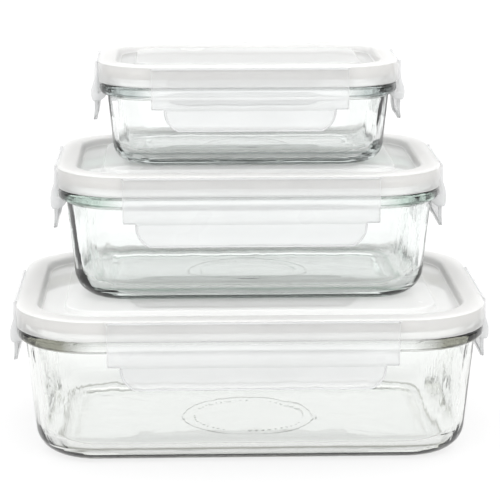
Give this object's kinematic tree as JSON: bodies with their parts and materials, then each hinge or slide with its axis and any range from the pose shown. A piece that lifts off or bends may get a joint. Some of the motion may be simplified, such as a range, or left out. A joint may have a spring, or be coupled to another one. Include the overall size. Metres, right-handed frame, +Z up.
{
  "type": "glass storage container",
  "caption": "Rectangular clear glass food containers in graded sizes, stacked, each with a clip-on frosted lid, a soft seal and hinged locking flaps on its sides.",
  "frame": {"origin": "centre of the large container's footprint, on the surface it stands on", "axes": "+Z up, +X along the long side to the right, the long front with its flap faces -Y"},
  "size_m": [0.2378, 0.1678, 0.1885],
  "materials": {
    "glass": "clear pressed glass with a faint green tint at thick edges",
    "lid_plastic": "milky translucent polypropylene, satin frame and glossy raised middle",
    "flap_plastic": "milky translucent polypropylene, thinner and clearer than the lid",
    "seal": "soft translucent grey silicone"
  },
  "bodies": {
    "large_base": {"large_base": "glass"},
    "large_lid": {"large_lid": "lid_plastic", "large_seal": "seal"},
    "large_front_flap": {"large_front_flap": "flap_plastic"},
    "large_back_flap": {"large_back_flap": "flap_plastic"},
    "large_left_flap": {"large_left_flap": "flap_plastic"},
    "large_right_flap": {"large_right_flap": "flap_plastic"},
    "medium_base": {"medium_base": "glass"},
    "medium_lid": {"medium_lid": "lid_plastic", "medium_seal": "seal"},
    "medium_front_flap": {"medium_front_flap": "flap_plastic"},
    "medium_back_flap": {"medium_back_flap": "flap_plastic"},
    "medium_left_flap": {"medium_left_flap": "flap_plastic"},
    "medium_right_flap": {"medium_right_flap": "flap_plastic"},
    "small_base": {"small_base": "glass"},
    "small_lid": {"small_lid": "lid_plastic", "small_seal": "seal"},
    "small_front_flap": {"small_front_flap": "flap_plastic"},
    "small_back_flap": {"small_back_flap": "flap_plastic"},
    "small_left_flap": {"small_left_flap": "flap_plastic"},
    "small_right_flap": {"small_right_flap": "flap_plastic"}
  },
  "joints": [
    {"name": "large_lid_lift", "type": "slide", "parent": "large_base", "child": "large_lid", "axis": [0, 0, 1], "range_m": [0, 0.11]},
    {"name": "large_front_flap_hinge", "type": "hinge", "parent": "large_lid", "child": "large_front_flap", "pos_m": [0, -0.08115, 0.0727], "axis": [-1, 0, 0], "range_deg": [0, 135]},
    {"name": "large_back_flap_hinge", "type": "hinge", "parent": "large_lid", "child": "large_back_flap", "pos_m": [0, 0.08115, 0.0727], "axis": [1, 0, 0], "range_deg": [0, 135]},
    {"name": "large_left_flap_hinge", "type": "hinge", "parent": "large_lid", "child": "large_left_flap", "pos_m": [-0.11615, 0, 0.0727], "axis": [0, 1, 0], "range_deg": [0, 135]},
    {"name": "large_right_flap_hinge", "type": "hinge", "parent": "large_lid", "child": "large_right_flap", "pos_m": [0.11615, 0, 0.0727], "axis": [0, -1, 0], "range_deg": [0, 135]},
    {"name": "medium_base_lift", "type": "slide", "parent": "large_lid", "child": "medium_base", "axis": [0, 0, 1], "range_m": [0, 0.11]},
    {"name": "medium_lid_lift", "type": "slide", "parent": "medium_base", "child": "medium_lid", "axis": [0, 0, 1], "range_m": [0, 0.11]},
    {"name": "medium_front_flap_hinge", "type": "hinge", "parent": "medium_lid", "child": "medium_front_flap", "pos_m": [0, -0.05265, 0.13695], "axis": [-1, 0, 0], "range_deg": [0, 135]},
    {"name": "medium_back_flap_hinge", "type": "hinge", "parent": "medium_lid", "child": "medium_back_flap", "pos_m": [0, 0.08065, 0.13695], "axis": [1, 0, 0], "range_deg": [0, 135]},
    {"name": "medium_left_flap_hinge", "type": "hinge", "parent": "medium_lid", "child": "medium_left_flap", "pos_m": [-0.09615, 0.014, 0.13695], "axis": [0, 1, 0], "range_deg": [0, 135]},
    {"name": "medium_right_flap_hinge", "type": "hinge", "parent": "medium_lid", "child": "medium_right_flap", "pos_m": [0.09615, 0.014, 0.13695], "axis": [0, -1, 0], "range_deg": [0, 135]},
    {"name": "small_base_lift", "type": "slide", "parent": "medium_lid", "child": "small_base", "axis": [0, 0, 1], "range_m": [0, 0.11]},
    {"name": "small_lid_lift", "type": "slide", "parent": "small_base", "child": "small_lid", "axis": [0, 0, 1], "range_m": [0, 0.11]},
    {"name": "small_front_flap_hinge", "type": "hinge", "parent": "small_lid", "child": "small_front_flap", "pos_m": [0, -0.03265, 0.1872], "axis": [-1, 0, 0], "range_deg": [0, 135]},
    {"name": "small_back_flap_hinge", "type": "hinge", "parent": "small_lid", "child": "small_back_flap", "pos_m": [0, 0.07265, 0.1872], "axis": [1, 0, 0], "range_deg": [0, 135]},
    {"name": "small_left_flap_hinge", "type": "hinge", "parent": "small_lid", "child": "small_left_flap", "pos_m": [-0.07565, 0.02, 0.1872], "axis": [0, 1, 0], "range_deg": [0, 135]},
    {"name": "small_right_flap_hinge", "type": "hinge", "parent": "small_lid", "child": "small_right_flap", "pos_m": [0.07565, 0.02, 0.1872], "axis": [0, -1, 0], "range_deg": [0, 135]}
  ]
}
